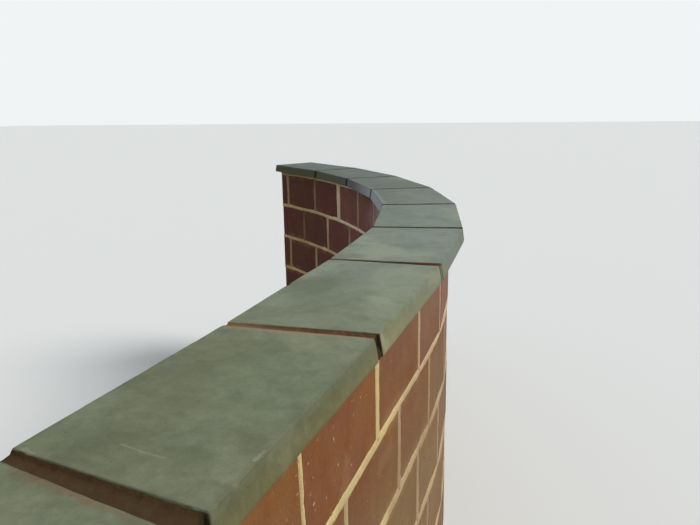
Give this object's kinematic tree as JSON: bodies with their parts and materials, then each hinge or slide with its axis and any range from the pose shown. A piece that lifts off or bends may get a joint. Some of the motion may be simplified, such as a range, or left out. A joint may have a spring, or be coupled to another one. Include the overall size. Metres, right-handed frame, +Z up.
{
  "type": "curved brick garden wall with flat coping slabs",
  "caption": "Low wall of large red masonry units in pale mortar, straight and then curved, under flat wedge-cut concrete coping slabs.",
  "frame": {"origin": "on the ground, on the wall's centre line, where the straight run meets the curve", "axes": "+X along the straight run towards the curve, +Y towards the inside of the curve, +Z up"},
  "size_m": [5.6678, 1.5686, 1.317],
  "materials": {
    "masonry": "matt red clay units in pale mortar",
    "bedding_mortar": "pale sandy mortar",
    "coping_concrete": "smooth grey-green concrete",
    "joint_mortar": "dark brown recessed mortar"
  },
  "bodies": {
    "root": {"wall_bay_1": "masonry", "wall_bay_2": "masonry", "wall_bay_3": "masonry", "curve_segment_1": "masonry", "curve_segment_2": "masonry", "curve_segment_3": "masonry", "curve_segment_4": "masonry", "curve_segment_5": "masonry", "curve_segment_6": "masonry", "bay_bed_1": "bedding_mortar", "bay_bed_2": "bedding_mortar", "bay_bed_3": "bedding_mortar", "curve_bed_1": "bedding_mortar", "curve_bed_2": "bedding_mortar", "curve_bed_3": "bedding_mortar", "curve_bed_4": "bedding_mortar", "curve_bed_5": "bedding_mortar", "curve_bed_6": "bedding_mortar", "coping_slab_01": "coping_concrete", "coping_slab_02": "coping_concrete", "coping_slab_03": "coping_concrete", "coping_slab_04": "coping_concrete", "coping_slab_05": "coping_concrete", "coping_slab_06": "coping_concrete", "coping_slab_07": "coping_concrete", "coping_slab_08": "coping_concrete", "coping_slab_09": "coping_concrete", "coping_slab_10": "coping_concrete", "coping_slab_11": "coping_concrete", "coping_slab_12": "coping_concrete", "coping_joint_01": "joint_mortar", "coping_joint_02": "joint_mortar", "coping_joint_03": "joint_mortar", "coping_joint_04": "joint_mortar", "coping_joint_05": "joint_mortar", "coping_joint_06": "joint_mortar", "coping_joint_07": "joint_mortar", "coping_joint_08": "joint_mortar", "coping_joint_09": "joint_mortar", "coping_joint_10": "joint_mortar", "coping_joint_11": "joint_mortar"}
  },
  "joints": []
}
